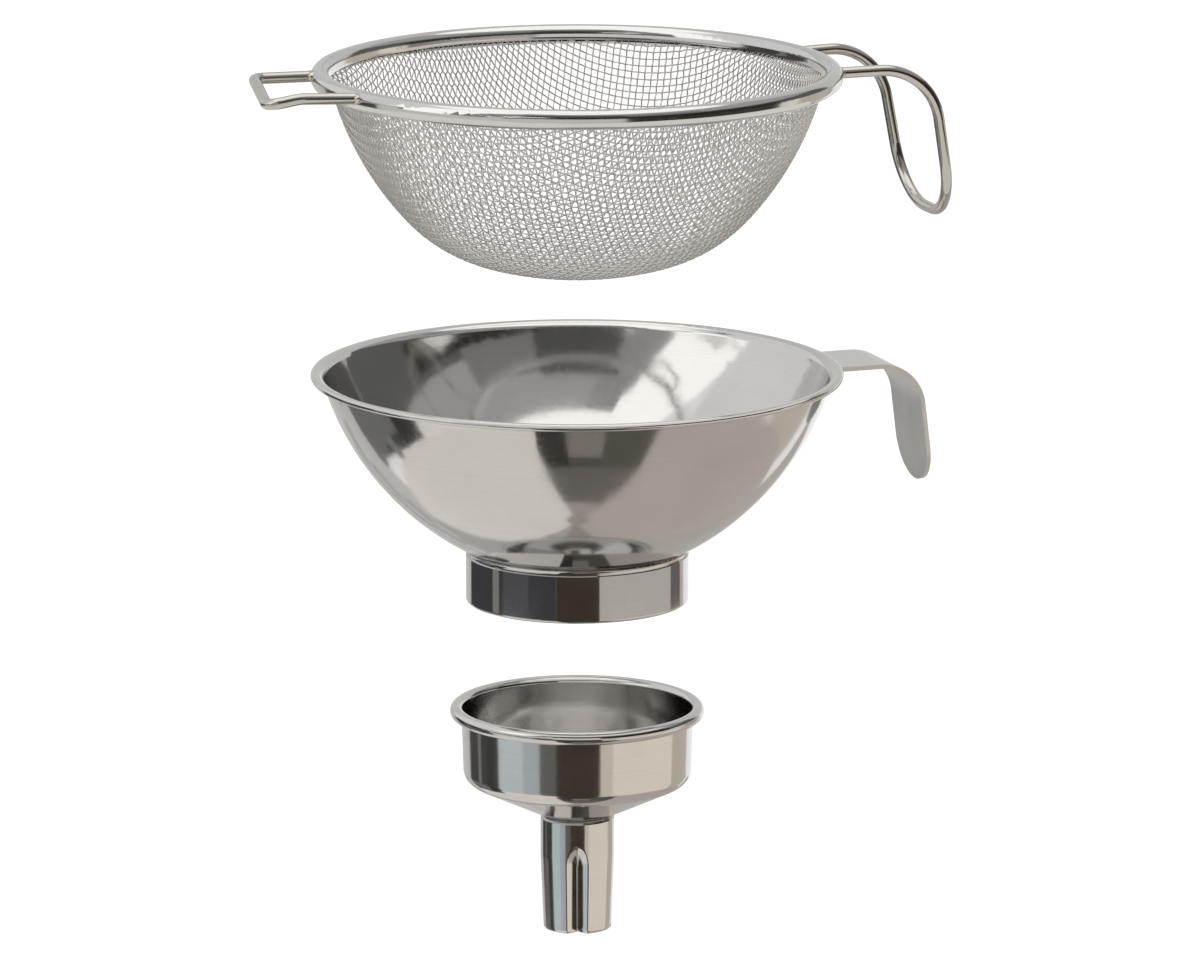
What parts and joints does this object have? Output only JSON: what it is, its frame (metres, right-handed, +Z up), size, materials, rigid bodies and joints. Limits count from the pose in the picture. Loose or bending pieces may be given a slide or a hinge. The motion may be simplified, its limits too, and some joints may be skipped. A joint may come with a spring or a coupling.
{
  "type": "straining funnel set",
  "caption": "Nesting stainless steel straining set: wire-mesh sieve with wire handle and rest lug, wide-neck funnel with strap handle, and small spout funnel.",
  "frame": {"origin": "on the common vertical axis, in the plane of the underside of the sieve's rim band, which is where the sieve rests", "axes": "+Z up along the common axis, +X towards the wire handle and the strap handle, +Y to the left of someone facing along +X"},
  "size_m": [0.1913, 0.14, 0.2323],
  "materials": {
    "woven_wire": "drawn round wire, satin",
    "rim_steel": "polished",
    "rod_steel": "drawn and lightly polished",
    "funnel_steel": "polished, fine spun lines",
    "neck_steel": "polished",
    "strap_steel": "satin",
    "cup_steel": "mirror polished",
    "spout_steel": "mirror polished"
  },
  "bodies": {
    "sieve": {"mesh_bowl": "woven_wire", "rim_band": "rim_steel", "rim_hoop_wire": "rod_steel", "handle_wire": "rod_steel", "rest_lug_wire": "rod_steel"},
    "wide_funnel": {"funnel_bowl": "funnel_steel", "neck_ring": "neck_steel", "strap_handle": "strap_steel"},
    "spout_funnel": {"cup": "cup_steel", "spout_tube": "spout_steel"}
  },
  "joints": [
    {"name": "funnel_slide", "type": "slide", "parent": "sieve", "child": "wide_funnel", "axis": [0, 0, 1], "range_m": [0, 0.0755]},
    {"name": "spout_funnel_slide", "type": "slide", "parent": "wide_funnel", "child": "spout_funnel", "axis": [0, 0, 1], "range_m": [0, 0.042]}
  ]
}
